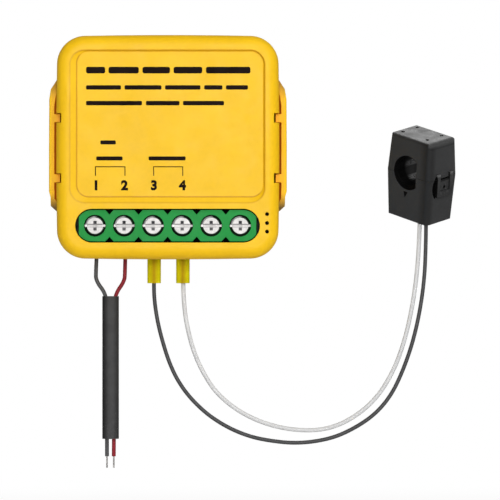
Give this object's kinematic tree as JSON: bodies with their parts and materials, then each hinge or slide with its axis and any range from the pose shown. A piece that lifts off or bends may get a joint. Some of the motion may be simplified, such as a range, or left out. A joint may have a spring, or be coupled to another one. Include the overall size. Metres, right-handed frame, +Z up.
{
  "type": "smart energy monitor",
  "caption": "Square in-wall energy meter module with a row of screw terminals, a short two-core mains lead and a split-core current clamp on two thin ferruled leads.",
  "frame": {"origin": "centre of the flat back of the module", "axes": "+Z up, with the terminal block at the lower edge; the face looks along -Y; +X to the right seen from the front, towards the current clamp"},
  "size_m": [0.0717, 0.018, 0.0761],
  "materials": {
    "yellow_plastic": "satin",
    "cover_plastic": "satin",
    "green_plastic": "satin",
    "screw_steel": "satin",
    "cage_steel": "satin",
    "contact_brass": "satin",
    "tinned_copper": "satin",
    "board": "satin",
    "ferrite": "matte",
    "bobbin_plastic": "matte",
    "enamelled_copper": "gloss",
    "capacitor_sleeve": "gloss",
    "film_capacitor": "satin",
    "varistor_coat": "satin",
    "resistor_coat": "matte",
    "chip_epoxy": "matte",
    "shield_can": "satin",
    "lamp": "gloss",
    "clear_plastic": "gloss",
    "black_plastic": "satin",
    "clamp_plastic": "satin",
    "steel_pin": "satin",
    "core_dark": "satin",
    "core_red": "satin",
    "sheath_black": "satin",
    "lead_dark": "satin",
    "lead_light": "satin",
    "sleeve_plastic": "satin",
    "ferrule_metal": "satin"
  },
  "bodies": {
    "module": {"front_shell": "yellow_plastic", "rear_cover": "cover_plastic", "terminal_block": "green_plastic", "terminal_contacts": "contact_brass", "main_pcb": "board", "transformer_core": "ferrite", "transformer_bobbin": "bobbin_plastic", "transformer_winding": "enamelled_copper", "bulk_capacitor": "capacitor_sleeve", "output_capacitor": "capacitor_sleeve", "safety_capacitor": "film_capacitor", "varistor": "varistor_coat", "fusible_resistor": "resistor_coat", "power_ic": "chip_epoxy", "metering_ic": "chip_epoxy", "radio_board": "board", "radio_shield": "shield_can", "radio_antenna": "enamelled_copper", "status_leds": "lamp", "light_pipe": "clear_plastic", "reset_switch": "black_plastic", "live_core": "core_dark", "neutral_core": "core_red", "ct_lead_dark": "lead_dark", "ct_lead_light": "lead_light", "live_conductor": "tinned_copper", "neutral_conductor": "tinned_copper", "cable_sheath": "sheath_black", "ferrule_sleeve_1": "sleeve_plastic", "ferrule_sleeve_2": "sleeve_plastic", "ferrule_pin_1": "ferrule_metal", "ferrule_pin_2": "ferrule_metal", "ct_base_case": "clamp_plastic", "ct_hinge_pin": "steel_pin", "ct_core_lower": "ferrite", "ct_bobbin": "bobbin_plastic", "ct_winding": "enamelled_copper"},
    "ct_jaw": {"ct_jaw_case": "clamp_plastic", "ct_core_upper": "ferrite"},
    "ct_latch": {"ct_latch": "clamp_plastic"},
    "clip_left": {"side_clip_left": "yellow_plastic"},
    "clip_right": {"side_clip_right": "yellow_plastic"},
    "reset_plunger": {"reset_plunger": "black_plastic"},
    "screw_1": {"terminal_screw_1": "screw_steel"},
    "screw_2": {"terminal_screw_2": "screw_steel"},
    "screw_3": {"terminal_screw_3": "screw_steel"},
    "screw_4": {"terminal_screw_4": "screw_steel"},
    "screw_5": {"terminal_screw_5": "screw_steel"},
    "screw_6": {"terminal_screw_6": "screw_steel"},
    "cage_1": {"terminal_cage_1": "cage_steel"},
    "cage_2": {"terminal_cage_2": "cage_steel"},
    "cage_3": {"terminal_cage_3": "cage_steel"},
    "cage_4": {"terminal_cage_4": "cage_steel"},
    "cage_5": {"terminal_cage_5": "cage_steel"},
    "cage_6": {"terminal_cage_6": "cage_steel"}
  },
  "joints": [
    {"name": "clamp_jaw_hinge", "type": "hinge", "parent": "module", "child": "ct_jaw", "pos_m": [0.04141, -0.00447, -0.00246], "axis": [-0.7088, -0.6681, -0.2264], "range_deg": [0, 95]},
    {"name": "clamp_latch_flex", "type": "hinge", "parent": "module", "child": "ct_latch", "pos_m": [0.0481, -0.01, -0.00785], "axis": [0.7088, 0.6681, 0.2264], "range_deg": [0, 7], "stiffness_Nm_per_rad": 0.03},
    {"name": "clip_left_press", "type": "slide", "parent": "module", "child": "clip_left", "axis": [1, 0, 0], "range_m": [0, 0.00025], "stiffness_N_per_m": 4000},
    {"name": "clip_right_press", "type": "slide", "parent": "module", "child": "clip_right", "axis": [-1, 0, 0], "range_m": [0, 0.00025], "stiffness_N_per_m": 4000},
    {"name": "reset_press", "type": "slide", "parent": "module", "child": "reset_plunger", "axis": [0, 1, 0], "range_m": [0, 0.00025], "stiffness_N_per_m": 4000},
    {"name": "screw_1_turn", "type": "hinge", "parent": "module", "child": "screw_1", "pos_m": [-0.0127, -0.015, -0.01375], "axis": [0, -1, 0], "range_deg": [0, 1081]},
    {"name": "cage_1_travel", "type": "slide", "parent": "module", "child": "cage_1", "axis": [0, 1, 0], "range_m": [0, 0.00135]},
    {"name": "screw_2_turn", "type": "hinge", "parent": "module", "child": "screw_2", "pos_m": [-0.00762, -0.015, -0.01375], "axis": [0, -1, 0], "range_deg": [0, 1081]},
    {"name": "cage_2_travel", "type": "slide", "parent": "module", "child": "cage_2", "axis": [0, 1, 0], "range_m": [0, 0.00135]},
    {"name": "screw_3_turn", "type": "hinge", "parent": "module", "child": "screw_3", "pos_m": [-0.00254, -0.015, -0.01375], "axis": [0, -1, 0], "range_deg": [0, 1081]},
    {"name": "cage_3_travel", "type": "slide", "parent": "module", "child": "cage_3", "axis": [0, 1, 0], "range_m": [0, 0.00135]},
    {"name": "screw_4_turn", "type": "hinge", "parent": "module", "child": "screw_4", "pos_m": [0.00254, -0.015, -0.01375], "axis": [0, -1, 0], "range_deg": [0, 1081]},
    {"name": "cage_4_travel", "type": "slide", "parent": "module", "child": "cage_4", "axis": [0, 1, 0], "range_m": [0, 0.00135]},
    {"name": "screw_5_turn", "type": "hinge", "parent": "module", "child": "screw_5", "pos_m": [0.00762, -0.015, -0.01375], "axis": [0, -1, 0], "range_deg": [0, 1081]},
    {"name": "cage_5_travel", "type": "slide", "parent": "module", "child": "cage_5", "axis": [0, 1, 0], "range_m": [0, 0.00135]},
    {"name": "screw_6_turn", "type": "hinge", "parent": "module", "child": "screw_6", "pos_m": [0.0127, -0.015, -0.01375], "axis": [0, -1, 0], "range_deg": [0, 1081]},
    {"name": "cage_6_travel", "type": "slide", "parent": "module", "child": "cage_6", "axis": [0, 1, 0], "range_m": [0, 0.00135]}
  ],
  "couplings": [
    {"joint": "screw_1_turn", "follows": "cage_1_travel", "rad_per_m": 13963},
    {"joint": "screw_2_turn", "follows": "cage_2_travel", "rad_per_m": 13963},
    {"joint": "screw_3_turn", "follows": "cage_3_travel", "rad_per_m": 13963},
    {"joint": "screw_4_turn", "follows": "cage_4_travel", "rad_per_m": 13963},
    {"joint": "screw_5_turn", "follows": "cage_5_travel", "rad_per_m": 13963},
    {"joint": "screw_6_turn", "follows": "cage_6_travel", "rad_per_m": 13963}
  ]
}
